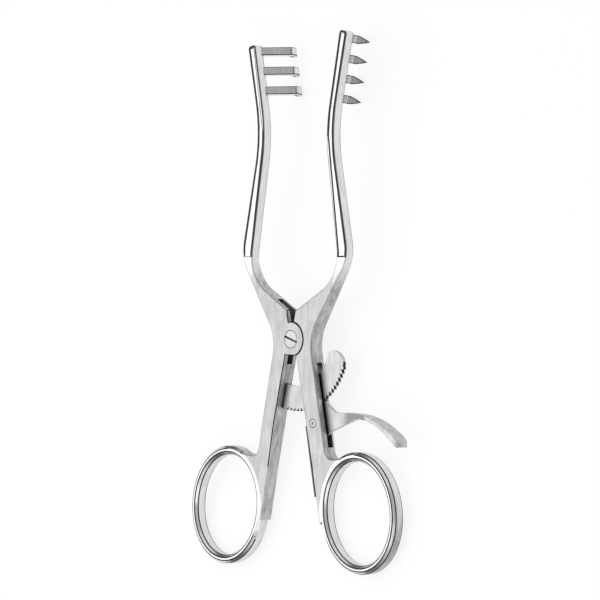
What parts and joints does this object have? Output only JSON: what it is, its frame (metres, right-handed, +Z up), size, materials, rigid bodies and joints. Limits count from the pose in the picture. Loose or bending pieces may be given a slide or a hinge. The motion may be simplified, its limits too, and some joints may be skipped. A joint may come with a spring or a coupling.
{
  "type": "self retaining retractor",
  "caption": "Ring-handled surgical retractor: sharp pronged arms on a box joint, held open by a curved ratchet bar and a sprung thumb-release pawl lever.",
  "frame": {"origin": "middle of the bounding box at the table the instrument lies on, screw face up, carried by the finger rings and the hindmost prong tips", "axes": "+Y from the finger rings to the prongs, +Z up, away from the table, +X towards the half with four prongs and the release lever"},
  "size_m": [0.0766, 0.1402, 0.0136],
  "materials": {
    "forged_steel": "satin, polished on the rounded arms and finger rings",
    "turned_steel": "flush ends ground with the forging, satin",
    "ground_steel": "ground flat, satin",
    "spring_steel": "rolled spring strip, bright"
  },
  "bodies": {
    "left_body": {"left_half": "forged_steel", "pivot_screw": "turned_steel", "ratchet_bar": "ground_steel", "ratchet_rivet_upper": "turned_steel", "ratchet_rivet_lower": "turned_steel"},
    "right_body": {"right_half": "forged_steel", "lever_pin": "turned_steel", "leaf_spring": "spring_steel", "spring_screw": "turned_steel"},
    "lever_body": {"release_lever": "ground_steel"}
  },
  "joints": [
    {"name": "main_hinge", "type": "hinge", "parent": "left_body", "child": "right_body", "pos_m": [-0.00058, -0.01009, 0.00636], "axis": [0, 0.0736, -0.9973], "range_deg": [-11, 24]},
    {"name": "lever_hinge", "type": "hinge", "parent": "right_body", "child": "lever_body", "pos_m": [0.00782, -0.03173, 0.00476], "axis": [0, 0.0736, -0.9973], "range_deg": [0, 12], "stiffness_Nm_per_rad": 0.5, "springref_deg": -5.73, "deforming": ["leaf_spring"]}
  ]
}
